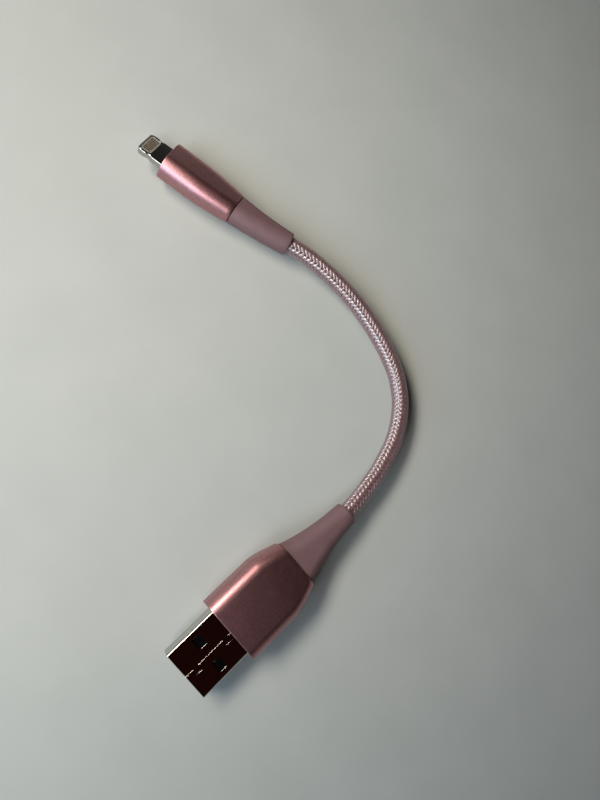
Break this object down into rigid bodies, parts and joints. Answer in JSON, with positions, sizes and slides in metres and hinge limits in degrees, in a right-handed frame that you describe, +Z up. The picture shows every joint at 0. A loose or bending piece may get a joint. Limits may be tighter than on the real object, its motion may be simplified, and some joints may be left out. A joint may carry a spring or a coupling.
{
  "type": "charging cable",
  "caption": "Short braided charging cable lying in an open curve, with a flat charger plug at one end and a slim phone plug at the other.",
  "frame": {"origin": "on the table, under the middle of the box round the two plugs with their housings and strain reliefs", "axes": "+Z up from the table that the cable lies on, +Y from the charger plug's end to the phone plug's end, +X towards the bow of the cord"},
  "size_m": [0.0666, 0.1218, 0.0082],
  "materials": {
    "plug_steel": "bright nickel plating on folded steel, fine brushing",
    "insulator_black": "moulded, faint grain",
    "contact_gold": "gold flash, satin",
    "solder": "dull tinned solder",
    "clip_steel": "plain spring steel",
    "mould_white": "translucent white moulding",
    "rose_aluminium": "fine satin rose gold anodising",
    "relief_rubber": "matte dusty pink, soft",
    "braid": "glossy braided nylon, rose gold and grey threads",
    "jacket_black": "soft vinyl",
    "wire_red": "vinyl insulation",
    "wire_white": "vinyl insulation",
    "wire_green": "vinyl insulation",
    "wire_black": "vinyl insulation",
    "insert_grey": "moulded grey contact insert",
    "board_green": "solder mask",
    "chip_black": "epoxy package",
    "shield_steel": "thin stamped sheet"
  },
  "bodies": {
    "root": {"charger_shell": "plug_steel", "charger_insulator": "insulator_black", "charger_contact_power": "contact_gold", "charger_contact_data_minus": "contact_gold", "charger_contact_data_plus": "contact_gold", "charger_contact_ground": "contact_gold", "charger_solder_joints": "solder", "charger_cable_clip": "clip_steel", "charger_inner_mould": "mould_white", "charger_housing": "rose_aluminium", "charger_strain_relief": "relief_rubber", "braided_sleeve": "braid", "cable_jacket": "jacket_black", "power_wire": "wire_red", "data_minus_wire": "wire_white", "data_plus_wire": "wire_green", "ground_wire": "wire_black", "phone_plug_frame": "plug_steel", "phone_plug_insert": "insert_grey", "phone_contacts_top": "contact_gold", "phone_contacts_bottom": "contact_gold", "phone_board": "board_green", "phone_chip": "chip_black", "phone_solder_joints": "solder", "phone_shield_upper": "shield_steel", "phone_shield_lower": "shield_steel", "phone_cable_clip": "clip_steel", "phone_inner_mould": "mould_white", "phone_housing": "rose_aluminium", "phone_strain_relief": "relief_rubber"}
  },
  "joints": []
}
